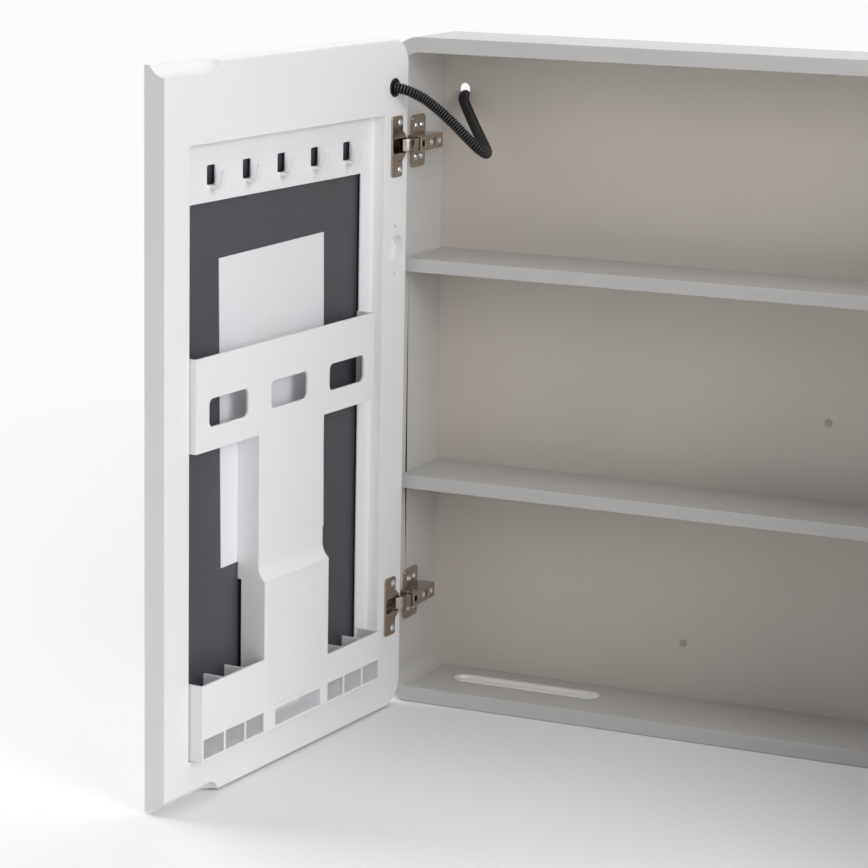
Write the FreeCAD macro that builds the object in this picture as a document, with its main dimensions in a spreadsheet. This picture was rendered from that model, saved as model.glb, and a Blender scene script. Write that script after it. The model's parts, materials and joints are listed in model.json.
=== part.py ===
"""Lighted mirror cabinet with two hinged doors, for a wall.

Bench frame of the formulas, in millimetres: x from the middle of the width, y from the front of the carcass
towards the wall, z from the underside. Each sub-part is then placed so that the origin is midway between the two
hanging holes, on the wall plane. The left door is drawn shut and turned open about its hinge pins.
"""
import math
import os
import re

import FreeCAD, Part

SIZES = {
    # Carcass
    "cabinet_width": 900, "cabinet_height": 700, "carcass_depth": 100, "panel": 16, "corner_radius": 32,
    "edge_round": 0.8, "back_thickness": 4, "back_inset": 3,
    # Shelves
    "shelf_thickness": 14, "upper_shelf_share": 0.65429, "lower_shelf_share": 0.32714, "shelf_setback": 5,
    "shelf_clearance": 0.2,
    "dowel_radius": 2.5, "dowel_grip": 8, "dowel_inset": 22,
    # Downlights in the bottom panel
    "light_from_side": 144, "light_from_front": 56, "bezel_length": 165, "bezel_width": 25, "bezel_rim": 1.6,
    "bezel_lip": 3, "lens_margin": 6, "lens_clearance": 0.2, "lens_thickness": 3, "lens_recess": 1.5,
    # Back panel fittings
    "cap_radius": 4, "cap_stem_radius": 2.5, "cap_height": 1.2, "low_cap_from_middle": 147.4, "low_cap_z": 74,
    "mid_cap_z": 324, "back_screw_radius": 1.75, "back_screw_head": 3.5, "back_screw_head_height": 1.6,
    "back_screw_bite": 14, "back_screw_spread": 260,
    # Hangers on the wall side
    "wall_standoff": 8, "hanger_from_side": 70, "hanger_from_top": 28, "hanger_hole_radius": 4.5, "hanger_bridge": 44,
    "hanger_foot": 14, "hanger_height": 50, "hanger_sheet": 2, "hanger_screw_radius": 2, "hanger_screw_head": 4,
    "hanger_screw_bite": 14, "spacer_radius": 12, "spacer_z": 40,
    # Doors
    "door_angle": 94.4, "door_gap": 3, "door_inset": 1, "door_reveal": 3, "door_bottom_gap": 2, "door_top_gap": 0.5,
    "door_thickness": 22, "door_corner": 28, "door_edge_round": 2, "glass_thickness": 4, "glass_lip": 2,
    "glass_clearance": 0.2,
    # Recess, opening and scoops of the door shell, from the hinge edge and the underside
    "recess_start": 48, "recess_end": 406, "recess_low": 42.6, "recess_from_top": 76, "recess_round": 1.5,
    "recess_depth": 13, "floor_thickness": 2, "cavity_margin": 4,
    "opening_start": 72, "opening_end": 398, "opening_low": 58, "opening_from_top": 133,
    "scoop_radius": 16.7, "scoop_lift": 5.9, "scoop_length": 78,
    # Hooks
    "hook_first": 101, "hook_pitch": 62.2, "hook_width": 8, "slot_width": 14.6, "slot_from_top": 117,
    "slot_round": 2, "slot_height": 18.3, "hook_reach": 12.5, "hook_sheet": 3, "hook_height": 19, "hook_lean": 13,
    # Light channel
    "channel_start": 44, "channel_length": 360, "channel_from_top": 60, "channel_height": 32, "channel_depth": 10,
    "diffuser_thickness": 1.5, "board_thickness": 1.6, "board_height": 12, "chip_size": 3, "chip_height": 1,
    "chip_pitch": 20, "driver_length": 58, "driver_height": 24, "driver_thickness": 7, "channel_margin": 2,
    # Demister pad
    "pad_start": 131.4, "pad_width": 192, "pad_low": 215, "pad_height": 300, "pad_thickness": 0.6, "pad_tilt": 1.1,
    "label_start": 197.9, "label_width": 60, "label_low": 411, "label_height": 36, "label_thickness": 0.2,
    "label_tilt": 6.6,
    # Organizer
    "holder_wall": 2.5, "bar_start": 75, "bar_end": 404.5, "bar_low": 339, "bar_high": 428, "bar_proud": 6.5,
    "stem_start": 173.5, "stem_end": 294, "stem_skirt": 4.2, "shoulder_low": 195, "shoulder_rise": 15.3,
    "shoulder_radius": 19.3, "tray_proud": 14, "tray_start": 67.2, "tray_low": 43.8,
    "left_tray_high": 118, "right_tray_high": 95, "divider": 2,
    "left_divider": 326.6, "right_divider": 102.7, "divider_pitch": 36.8, "divider_setback": 3,
    "window_low": 361, "window_height": 27, "window_length": 68, "window_first": 95, "window_pitch": 109.5,
    "window_round": 6, "tray_window_height": 18.8, "tray_window_margin": 0.5, "foot_window_low": 46.7,
    "foot_window_height": 17, "foot_window_start": 187.6, "foot_window_end": 273, "foot_window_depth": 24,
    "plate_start": 183,
    "plate_end": 283, "plate_low": 68, "plate_high": 193.5, "plate_thickness": 1.2, "plate_sunk": 0.4,
    "tab_length": 8, "tab_height": 11, "tab_thickness": 3,
    # Hinges
    "low_hinge_z": 110, "high_hinge_from_top": 109, "spare_hinge_from_top": 215, "cup_radius": 15.7,
    "cup_wall": 0.8, "cup_depth": 17.4, "cup_centre": 18.8, "flange_radius": 16.3, "flange_sheet": 1,
    "cheek_gap": 1.2, "flange_start": 14, "flange_bar_sheet": 2, "flange_width": 21.5, "flange_height": 62,
    "flange_round": 3.5,
    "cup_screw_from_edge": 20, "cup_screw_pitch": 48, "cup_screw_radius": 1.75, "cup_screw_head": 3.8,
    "cup_screw_head_height": 1.6, "cup_screw_length": 12, "pivot_inset": 9.9, "pivot_depth": 13.5,
    "pin_radius": 1.5, "pin_length": 21, "pin_clearance": 0.08, "eye_radius": 2.6, "crank": 19.6,
    "crank_sheet": 4, "link_sheet": 5, "link_height": 12.4, "link_tail": 12, "link_bend": 11, "link_crook": 3.5,
    "rivet_radius": 2, "rivet_from_front": 9, "spare_pocket_radius": 15.5, "spare_pocket_depth": 10,
    "spare_pocket_centre": 21.5, "spare_pilot_from_edge": 24, "pilot_radius": 1.5, "arm_start": 4,
    "arm_length": 54, "arm_height": 15.6, "arm_sheet": 1.5, "arm_rise": 19, "plate_wing": 2.5,
    "plate_wing_width": 33, "plate_wing_height": 54, "plate_wing_round": 5, "plate_from_front": 33.5,
    "plate_lip": 5, "plate_lip_sheet": 1.6, "plate_lip_gap": 2, "ridge_start": 20, "ridge_length": 34,
    "ridge_height": 10, "ridge_rise": 9, "plate_screw_pitch": 32, "plate_screw_step": 13, "plate_screw_radius": 2,
    "plate_screw_head": 3.6, "plate_screw_head_height": 1.8, "plate_screw_bite": 11, "adjuster_radius": 2,
    "adjuster_head": 3.4, "adjuster_head_height": 1.4, "adjuster_first": 29, "adjuster_pitch": 19,
    # Conduit
    "grommet_inset": 30, "grommet_from_top": 49, "grommet_flange": 9.5, "grommet_neck": 7.5, "grommet_rim": 2,
    "grommet_neck_length": 6, "conduit_radius": 5.7, "conduit_groove": 0.9, "conduit_bore": 4.1,
    "conduit_clearance": 0.3, "conduit_pitch": 2.85, "conduit_end_run": 12, "conduit_wall_run": 11,
    "conduit_hole_from_side": 40, "conduit_hole_from_top": 66.4, "conduit_hole_rise": 7,
}

# Values worked out from the sizes, as formulas
DERIVED = {
    "side": "(-cabinet_width / 2)",
    "inner_side": "(-cabinet_width / 2 + panel)",
    "back_rear": "(carcass_depth + back_thickness)",
    "wall_plane": "(carcass_depth + back_thickness + wall_standoff)",
    "hinge_edge": "(-cabinet_width / 2 + door_inset)",
    "door_width": "(cabinet_width / 2 - door_inset - door_gap / 2)",
    "door_height": "(cabinet_height - door_top_gap - door_bottom_gap)",
    "shell_depth": "(door_thickness - glass_thickness)",
    "pivot_x": "(-cabinet_width / 2 + door_inset + pivot_inset)",
    "pivot_y": "(-door_reveal - pivot_depth)",
    "link_x": "(-cabinet_width / 2 + door_inset + pivot_inset + crank)",
    "upper_shelf_z": "(cabinet_height * upper_shelf_share)",
    "lower_shelf_z": "(cabinet_height * lower_shelf_share)",
    "hanger_spacing": "(cabinet_width - 2 * hanger_from_side)",
    "hanger_z": "(cabinet_height - hanger_from_top)",
    "recess_high": "(cabinet_height - recess_from_top)",
    "opening_high": "(cabinet_height - opening_from_top)",
    "slot_low": "(cabinet_height - slot_from_top)",
    "channel_low": "(cabinet_height - channel_from_top)",
    "high_hinge_z": "(cabinet_height - high_hinge_from_top)",
    "spare_hinge_z": "(cabinet_height - spare_hinge_from_top)",
    "grommet_z": "(cabinet_height - grommet_from_top)",
    "conduit_hole_z": "(cabinet_height - conduit_hole_from_top)",
}

doc = FreeCAD.newDocument("mirror_cabinet")
sheet = doc.addObject("Spreadsheet::Sheet", "Sizes")
for row, (alias, number) in enumerate(SIZES.items(), start=1):
    sheet.set(f"A{row}", alias)
    sheet.set(f"B{row}", str(number))
    sheet.setAlias(f"B{row}", alias)
working = doc.addObject("Spreadsheet::Sheet", "Working")
doc.recompute()

WORD = re.compile(r"[a-z_]+[a-z]")
parts = []


def formula(text):
    """A formula on the sheet's cells, from one in plain size names."""
    def cell(found):
        word = found.group()
        if word in DERIVED:
            return formula(DERIVED[word])
        return f"Sizes.{word}" if word in SIZES else word
    return WORD.sub(cell, str(text))


def value(text):
    """The number that a formula gives now."""
    working.set("A1", "=" + formula(text))
    working.recompute()
    return float(working.get("A1"))


def make(kind, name, **fields):
    """An object of the document, with each field bound to its formula."""
    made = doc.addObject(kind, name)
    for field, text in fields.items():
        made.setExpression(field.replace("__", "."), formula(text))
    return made


def box(name, size, corner):
    """A block of a size, with its lowest corner at a point."""
    return make("Part::Box", name, Length=size[0], Width=size[1], Height=size[2],
                Placement__Base__x=corner[0], Placement__Base__y=corner[1], Placement__Base__z=corner[2])


TURN = {
    "x": "rotation(vector(0; 1; 0); 90)",
    "y": "rotation(vector(1; 0; 0); -90)",
    "z": "rotation(vector(0; 0; 1); 0)",
}


def rod(name, axis, radius, length, start):
    """A round bar that runs from its start along +x, +y or +z."""
    made = make("Part::Cylinder", name, Radius=radius, Height=length)
    made.setExpression("Placement", formula(f"placement(vector({start[0]}; {start[1]}; {start[2]}); {TURN[axis]})"))
    return made


def door_box(name, size, corner):
    """A block on the shut left door: from the hinge edge, from the rear face (minus is into the door), from below."""
    return box(name, size, (f"hinge_edge + {corner[0]}", f"-door_reveal + {corner[1]}", corner[2]))


def door_rod(name, axis, radius, length, start):
    """A round bar on the shut left door."""
    return rod(name, axis, radius, length, (f"hinge_edge + {start[0]}", f"-door_reveal + {start[1]}", start[2]))


def fuse(name, *solids):
    made = doc.addObject("Part::MultiFuse", name)
    made.Shapes = list(solids)
    return made


def group(name, solids):
    made = doc.addObject("Part::Compound", name)
    made.Links = list(solids)
    return made


def cut(name, base, *tools):
    """The base less its tools."""
    made = doc.addObject("Part::Cut", name)
    made.Base = base
    made.Tool = tools[0] if len(tools) == 1 else group(name + "_tools", tools)
    return made


def rounded(name, base, radius, pick):
    """The base with the edges that pick chooses rounded."""
    doc.recompute()
    made = doc.addObject("Part::Fillet", name)
    made.Base = base
    size = value(radius)
    made.Edges = [(i, size, size) for i, edge in enumerate(base.Shape.Edges, start=1) if pick(edge)]
    return made


def runs_along(edge, axis):
    """Whether an edge is straight along an axis."""
    if not isinstance(edge.Curve, Part.Line):
        return False
    return abs(abs(edge.Curve.Direction.dot(axis)) - 1) < 1e-6


X_AXIS, Y_AXIS, Z_AXIS = FreeCAD.Vector(1, 0, 0), FreeCAD.Vector(0, 1, 0), FreeCAD.Vector(0, 0, 1)


def upright_at(x, y):
    """Picks the edges that stand at a place."""
    return lambda edge: (runs_along(edge, Z_AXIS) and abs(edge.CenterOfMass.x - x) < 1e-6
                         and abs(edge.CenterOfMass.y - y) < 1e-6)


def front_edges(axis):
    """Picks the straight edges of a panel's front face along an axis."""
    return lambda edge: runs_along(edge, axis) and abs(edge.CenterOfMass.y) < 1e-6


AT_WALL = "vector(0; -(wall_plane); -(hanger_z))"
SHUT_TO_OPEN = "rotation(vector(0; 0; 1); -(door_angle)); vector(pivot_x; pivot_y; 0)"


def keep(label, *solids, door=False):
    """Makes a sub-part of its solids and places it, turned open with the left door if it is on it."""
    made = group("part_" + label, solids)
    made.Label = label
    turn = SHUT_TO_OPEN if door else "rotation(vector(0; 0; 1); 0)"
    made.setExpression("Placement", formula(f"placement({AT_WALL}; {turn})"))
    parts.append(made)
    return made


def keep_twin(label, left):
    """Makes the right-hand twin of a left-hand sub-part."""
    made = doc.addObject("Part::Mirroring", "part_" + label)
    made.Label = label
    made.Source = left
    made.Base = (0, 0, 0)
    made.Normal = (1, 0, 0)
    parts.append(made)


def keep_pair(name, *solids, door=True):
    """Makes left_NAME and its right-hand twin."""
    keep_twin("right_" + name, keep("left_" + name, *solids, door=door))


def oblong(name, length, width, height, corner):
    """An upright block with half-round ends, along x."""
    x, y, z = corner
    middle = box(name + "_middle", (f"{length} - ({width})", width, height), (f"{x} + ({width}) / 2", y, z))
    ends = [rod(f"{name}_end_{i}", "z", f"({width}) / 2", height, (f"{x} + {at}", f"{y} + ({width}) / 2", z))
            for i, at in enumerate((f"({width}) / 2", f"{length} - ({width}) / 2"))]
    return fuse(name, middle, *ends)


def back_screws():
    """The screws of the back panel, into the rear edges of the carcass."""
    middle = "panel / 2"
    rows = [(f"{i} * back_screw_spread", z) for i in (-1.5, -0.5, 0.5, 1.5)
            for z in (middle, f"cabinet_height - {middle}")]
    columns = [(x, f"cabinet_height / 2 + {i} * back_screw_spread * 0.8") for i in (-1, 0, 1)
               for x in (f"side + {middle}", f"-(side) - {middle}")]
    made = []
    for i, (x, z) in enumerate(rows + columns):
        shank = rod(f"back_shank_{i}", "y", "back_screw_radius", "back_thickness + back_screw_bite",
                    (x, "carcass_depth - back_screw_bite", z))
        head = rod(f"back_head_{i}", "y", "back_screw_head", "back_screw_head_height", (x, "back_rear", z))
        made.append(fuse(f"back_screw_{i}", shank, head))
    return made


def hangers():
    """Bridge-shaped hanger plates, the screws that hold them to the top panel, and the hanging holes."""
    plates, screws = [], []
    for i, sign in enumerate((-1, 1)):
        middle = f"{sign} * hanger_spacing / 2"
        low = "hanger_z - hanger_height / 2"
        bridge = box(f"hanger_bridge_{i}", ("hanger_bridge", "hanger_sheet", "hanger_height"),
                     (f"{middle} - hanger_bridge / 2", "wall_plane - hanger_sheet", low))
        hole = rod(f"hanger_hole_{i}", "y", "hanger_hole_radius", "wall_standoff", (middle, "back_rear", "hanger_z"))
        limbs = []
        for j, (riser_at, foot_at) in enumerate((("-hanger_bridge / 2", "-hanger_bridge / 2 - hanger_foot"),
                                                 ("hanger_bridge / 2 - hanger_sheet", "hanger_bridge / 2"))):
            limbs.append(box(f"hanger_riser_{i}{j}", ("hanger_sheet", "wall_standoff", "hanger_height"),
                             (f"{middle} + {riser_at}", "back_rear", low)))
            limbs.append(box(f"hanger_foot_{i}{j}", ("hanger_foot", "hanger_sheet", "hanger_height"),
                             (f"{middle} + {foot_at}", "back_rear", low)))
            at = (f"{middle} + {foot_at} + hanger_foot / 2", "cabinet_height - panel / 2")
            shank = rod(f"hanger_shank_{i}{j}", "y", "hanger_screw_radius",
                        "back_thickness + hanger_sheet + hanger_screw_bite",
                        (at[0], "carcass_depth - hanger_screw_bite", at[1]))
            head = rod(f"hanger_head_{i}{j}", "y", "hanger_screw_head", "hanger_sheet",
                       (at[0], "back_rear + hanger_sheet", at[1]))
            screws.append(fuse(f"hanger_screw_{i}{j}", shank, head))
        plates.append(cut(f"hanger_{i}", fuse(f"hanger_solid_{i}", bridge, *limbs), hole, *screws[-2:]))
    return plates, screws


def downlight(i, sign):
    """One downlight: its bezel, its opal cover and the slot for it in the bottom panel."""
    x = f"{sign} * (cabinet_width / 2 - light_from_side) - bezel_length / 2"
    y = "light_from_front - bezel_width / 2"

    def ring(name, margin, low, height):
        return oblong(f"{name}_{i}", f"bezel_length - 2 * ({margin})", f"bezel_width - 2 * ({margin})", height,
                      (f"{x} + {margin}", f"{y} + {margin}", low))

    rim = ring("bezel_rim", "0", "panel", "bezel_rim")
    sleeve = ring("bezel_sleeve", "bezel_lip", "0", "panel")
    hole = ring("bezel_hole", "lens_margin", "0", "panel + bezel_rim")
    lens = ring("light_cover", "lens_margin + lens_clearance", "panel - lens_recess - lens_thickness",
                "lens_thickness")
    slot = ring("light_slot", "bezel_lip", "0", "panel")
    return cut(f"bezel_{i}", fuse(f"bezel_solid_{i}", rim, sleeve), hole), lens, slot


def mounting_hardware(name, z):
    """What one left hinge has on the carcass: plate, plate screws, arm, adjusting screws and cranked link."""
    from_plate = "inner_side"
    wing = box(f"{name}_wing", ("plate_wing", "plate_wing_width", "plate_wing_height"),
               (from_plate, "plate_from_front - plate_wing_width / 2", f"{z} - plate_wing_height / 2"))
    wing = rounded(f"{name}_wing_round", wing, "plate_wing_round", lambda edge: runs_along(edge, X_AXIS))
    ridge = box(f"{name}_ridge", ("ridge_rise", "ridge_length", "ridge_height"),
                (from_plate, "ridge_start", f"{z} - ridge_height / 2"))
    screws = []
    for i, (along, up) in enumerate(((-1, -1), (-1, 1), (1, -1), (1, 1))):
        at = (f"plate_from_front + {along} * plate_screw_step / 2", f"{z} + {up} * plate_screw_pitch / 2")
        shank = rod(f"{name}_plate_shank_{i}", "x", "plate_screw_radius", "plate_wing + plate_screw_bite",
                    (f"{from_plate} - plate_screw_bite", *at))
        head = rod(f"{name}_plate_head_{i}", "x", "plate_screw_head", "plate_screw_head_height",
                   (f"{from_plate} + plate_wing", *at))
        screws.append(fuse(f"{name}_plate_screw_{i}", shank, head))
    adjusters = []
    for i in range(2):
        at = (f"adjuster_first + {i} * adjuster_pitch", z)
        shank = rod(f"{name}_adjuster_shank_{i}", "x", "adjuster_radius", "arm_rise - ridge_rise",
                    (f"{from_plate} + ridge_rise", *at))
        head = rod(f"{name}_adjuster_head_{i}", "x", "adjuster_head", "adjuster_head_height",
                   (f"{from_plate} + arm_rise", *at))
        adjusters.append(fuse(f"{name}_adjuster_{i}", shank, head))
    channel = box(f"{name}_arm_block", ("arm_rise - plate_wing", "arm_length", "arm_height"),
                  (f"{from_plate} + plate_wing", "arm_start", f"{z} - arm_height / 2"))
    hollow = box(f"{name}_arm_hollow",
                 ("arm_rise - plate_wing - arm_sheet", "arm_length", "arm_height - 2 * arm_sheet"),
                 (f"{from_plate} + plate_wing", "arm_start", f"{z} - arm_height / 2 + arm_sheet"))
    tail = box(f"{name}_link_tail", ("link_sheet", "link_tail - pivot_y + crank_sheet / 2", "link_height"),
               ("link_x - link_sheet / 2", "pivot_y - crank_sheet / 2", f"{z} - link_height / 2"))
    crank = box(f"{name}_link_crank", ("crank", "crank_sheet", "link_height"),
                ("pivot_x", "pivot_y - crank_sheet / 2", f"{z} - link_height / 2"))
    eye = rod(f"{name}_link_eye", "z", "eye_radius", "link_height", ("pivot_x", "pivot_y", f"{z} - link_height / 2"))
    bore = rod(f"{name}_link_bore", "z", "pin_radius + pin_clearance", "link_height",
               ("pivot_x", "pivot_y", f"{z} - link_height / 2"))
    rivet = rod(f"{name}_rivet", "z", "rivet_radius", "arm_height",
                ("link_x", "rivet_from_front", f"{z} - arm_height / 2"))
    bent = fuse(f"{name}_link_solid", tail, crank, eye)
    for radius, side in (("link_bend", "+"), ("link_crook", "-")):
        x, y = value(f"link_x {side} link_sheet / 2"), value(f"pivot_y - ({side}crank_sheet / 2)")
        bent = rounded(f"{name}_{radius}", bent, radius, upright_at(x, y))
    link = fuse(f"{name}_link", cut(f"{name}_link_bored", bent, bore), rivet)
    lip_low = "arm_height / 2 + plate_lip_gap"
    lip_height = f"plate_wing_height / 2 - plate_wing_round - ({lip_low})"
    lips = [box(f"{name}_lip_{i}", ("plate_lip", "plate_lip_sheet", lip_height),
                (from_plate, "plate_from_front - plate_wing_width / 2", f"{z} + {low}"))
            for i, low in enumerate((lip_low, f"-({lip_low}) - ({lip_height})"))]
    plate = cut(f"{name}_plate", fuse(f"{name}_plate_solid", wing, ridge, *lips), *screws)
    arm = cut(f"{name}_arm", channel, hollow, rivet, *adjusters)
    return {"mounting_plates": plate, "plate_screws": screws, "hinge_arms": arm, "adjusting_screws": adjusters,
            "hinge_links": link}


def door_hardware(name, z):
    """What one left hinge has on the door: cup with flange, cup screws and pin, and the hole for the cup."""
    cup = door_rod(f"{name}_cup_wall", "y", "cup_radius", "cup_depth", ("cup_centre", "-cup_depth", z))
    disc = door_rod(f"{name}_cup_disc", "y", "flange_radius", "flange_sheet", ("cup_centre", "0", z))
    bar = door_box(f"{name}_flange_bar", ("flange_width", "flange_bar_sheet", "flange_height"),
                   ("flange_start", "0", f"{z} - flange_height / 2"))
    bar = rounded(f"{name}_flange_bar_round", bar, "flange_round", lambda edge: runs_along(edge, Y_AXIS))
    hollow = door_rod(f"{name}_cup_round", "y", "cup_radius - cup_wall", "cup_depth - cup_wall + flange_bar_sheet",
                      ("cup_centre", "-(cup_depth - cup_wall)", z))
    slot = "link_height / 2 + cheek_gap"
    cheeks = [door_box(f"{name}_cheek_{i}", ("2 * cup_radius", "cup_depth + flange_sheet", "cup_radius"),
                       ("cup_centre - cup_radius", "-cup_depth", f"{z} + {low}"))
              for i, low in enumerate((slot, f"-({slot}) - cup_radius"))]
    hollow = cut(f"{name}_cup_hollow", hollow, *cheeks)
    screws = []
    for i, sign in enumerate((-1, 1)):
        at = f"{z} + {sign} * cup_screw_pitch / 2"
        shank = door_rod(f"{name}_cup_shank_{i}", "y", "cup_screw_radius", "cup_screw_length + flange_bar_sheet",
                         ("cup_screw_from_edge", "-cup_screw_length", at))
        head = door_rod(f"{name}_cup_head_{i}", "y", "cup_screw_head", "cup_screw_head_height",
                        ("cup_screw_from_edge", "flange_bar_sheet", at))
        screws.append(fuse(f"{name}_cup_screw_{i}", shank, head))
    pin = door_rod(f"{name}_pin", "z", "pin_radius", "pin_length",
                   ("pivot_inset", "-pivot_depth", f"{z} - pin_length / 2"))
    cups = cut(f"{name}_cup", fuse(f"{name}_cup_solid", cup, disc, bar), hollow, pin, *screws)
    hole = door_rod(f"{name}_cup_hole", "y", "cup_radius", "shell_depth", ("cup_centre", "-(shell_depth)", z))
    return {"hinge_cups": cups, "cup_screws": screws, "hinge_pins": pin, "hole": hole}


def door_slab(name, margin, depth, start):
    """A slab of the door's outline: square at the closing edge, rounded at the hinge edge."""
    slab = door_box(name + "_block", (f"door_width - 2 * ({margin})", depth, f"door_height - 2 * ({margin})"),
                    (margin, start, f"door_bottom_gap + {margin}"))
    edge_x = value(f"hinge_edge + {margin}")
    return rounded(name, slab, f"door_corner - ({margin})",
                   lambda edge: runs_along(edge, Y_AXIS) and abs(edge.CenterOfMass.x - edge_x) < 1e-6)


def finger_scoop(i, z):
    """The hollow for fingers at a corner of the closing edge: a trough with a round end."""
    start = "door_width - scoop_length"
    trough = door_rod(f"scoop_{i}", "x", "scoop_radius", "scoop_length", (start, "0", z))
    end = make("Part::Sphere", f"scoop_end_{i}", Radius="scoop_radius")
    centre = f"vector(hinge_edge + {start}; -door_reveal; {z})"
    end.setExpression("Placement", formula(f"placement({centre}; {TURN['z']})"))
    return fuse(f"scoop_solid_{i}", trough, end)


def hooks():
    """The five moulded hooks, with tips that lean outwards, and the mould slots behind them."""
    made, slots = [], []
    for i in range(5):
        middle = f"hook_first + {i} * hook_pitch"
        arm = door_box(f"hook_arm_{i}", ("hook_width", "hook_reach", "hook_sheet"),
                       (f"{middle} - hook_width / 2", "-recess_depth", "slot_low - hook_sheet"))
        tip = make("Part::Box", f"hook_tip_{i}", Length="hook_width", Width="hook_sheet", Height="hook_height")
        foot = (f"vector(hinge_edge + {middle} - hook_width / 2; -door_reveal - recess_depth + hook_reach"
                " - hook_sheet; slot_low - hook_sheet)")
        tip.setExpression("Placement", formula(f"placement({foot}; rotation(vector(1; 0; 0); -(hook_lean)))"))
        made.append(fuse(f"hook_{i}", arm, tip))
        slot = door_box(f"hook_slot_block_{i}", ("slot_width", "floor_thickness", "slot_height"),
                        (f"{middle} - slot_width / 2", "-recess_depth - floor_thickness", "slot_low"))
        slots.append(rounded(f"hook_slot_{i}", slot, "slot_round", lambda edge: runs_along(edge, Y_AXIS)))
    return made, slots


def door_shell(cup_holes, fittings):
    """The moulded shell: recess and hooks at the back, a bed for the glass and a light channel at the front."""
    slab = door_slab("shell_slab", "0", "door_thickness", "-door_thickness")
    rear = value("-door_reveal")
    closing = value("hinge_edge + door_width")
    eased = rounded("shell_eased", slab, "door_edge_round",
                    lambda edge: all(abs(v.Point.y - rear) < 1e-6 for v in edge.Vertexes)
                    and not all(abs(v.Point.x - closing) < 1e-6 for v in edge.Vertexes))
    bed = door_slab("glass_bed", "glass_lip", "glass_thickness", "-door_thickness")
    recess = door_box("recess_block", ("recess_end - recess_start", "recess_depth", "recess_high - recess_low"),
                      ("recess_start", "-recess_depth", "recess_low"))
    recess = rounded("recess", recess, "recess_round", lambda edge: runs_along(edge, Y_AXIS))
    opening = door_box("opening", ("opening_end - opening_start", "floor_thickness", "opening_high - opening_low"),
                       ("opening_start", "-recess_depth - floor_thickness", "opening_low"))
    cavity = door_box("cavity", ("recess_end - recess_start - 2 * cavity_margin",
                                 "shell_depth - recess_depth - floor_thickness",
                                 "recess_high - recess_low - 2 * cavity_margin"),
                      ("recess_start + cavity_margin", "-(shell_depth)", "recess_low + cavity_margin"))
    channel = door_box("light_channel", ("channel_length", "channel_depth", "channel_height"),
                       ("channel_start", "-(shell_depth)", "channel_low"))
    scoops = [finger_scoop(0, "door_bottom_gap - scoop_lift"),
              finger_scoop(1, "door_bottom_gap + door_height + scoop_lift")]
    spare = make("Part::Prism", "spare_pocket", Circumradius="spare_pocket_radius", Height="spare_pocket_depth")
    spare.Polygon = 10
    at = "vector(hinge_edge + spare_pocket_centre; -door_reveal - spare_pocket_depth; spare_hinge_z)"
    spare.setExpression("Placement", formula(f"placement({at}; {TURN['y']})"))
    pilots = [door_rod(f"pilot_{i}", "y", "pilot_radius", "cup_screw_length",
                       ("spare_pilot_from_edge", "-cup_screw_length",
                        f"spare_hinge_z + {sign} * cup_screw_pitch / 2"))
              for i, sign in enumerate((-1, 1))]
    made, slots = hooks()
    shell = cut("shell_cut", eased, bed, recess, opening, cavity, channel, *scoops, spare, *pilots, *slots,
                *cup_holes, *fittings)
    return fuse("shell", shell, *made)


def light_fittings():
    """The LED board with its chips, the driver beside it and the diffuser over both."""
    inner = "-(shell_depth) + channel_depth"
    middle = "channel_low + channel_height / 2"
    board_at = "channel_start + driver_length + 3 * channel_margin"
    board_length = "channel_length - driver_length - 4 * channel_margin"
    board = door_box("board", (board_length, "board_thickness", "board_height"),
                     (board_at, f"{inner} - board_thickness", f"{middle} - board_height / 2"))
    count = int((value(board_length) - value("chip_size")) // value("chip_pitch"))
    chips = [door_box(f"chip_{i}", ("chip_size", "chip_height", "chip_size"),
                      (f"{board_at} + chip_pitch / 2 + {i} * chip_pitch", f"{inner} - board_thickness - chip_height",
                       f"{middle} - chip_size / 2"))
             for i in range(count)]
    driver = door_box("driver", ("driver_length", "driver_thickness", "driver_height"),
                      ("channel_start + channel_margin", f"{inner} - driver_thickness",
                       f"{middle} - driver_height / 2"))
    diffuser = door_box("diffuser", ("channel_length", "diffuser_thickness", "channel_height"),
                        ("channel_start", "-(shell_depth)", "channel_low"))
    return fuse("led_board", board, *chips), driver, diffuser


def leaf(name, size, corner, tilt):
    """A thin sheet on the back of the shut door, tilted in its own plane about its lowest corner."""
    made = make("Part::Box", name, Length=size[0], Width=size[1], Height=size[2])
    at = f"vector(hinge_edge + {corner[0]}; -door_reveal + {corner[1]}; {corner[2]})"
    made.setExpression("Placement", formula(f"placement({at}; rotation(vector(0; 1; 0); {tilt}))"))
    return made


def demister():
    """The demister pad, stuck a little askew on the mirror's back, and the bare label on it."""
    pad = leaf("pad", ("pad_width", "pad_thickness", "pad_height"), ("pad_start", "-(shell_depth)", "pad_low"),
               "pad_tilt")
    label = leaf("label", ("label_width", "label_thickness", "label_height"),
                 ("label_start", "-(shell_depth) + pad_thickness", "label_low"), "label_tilt")
    return pad, label


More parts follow.
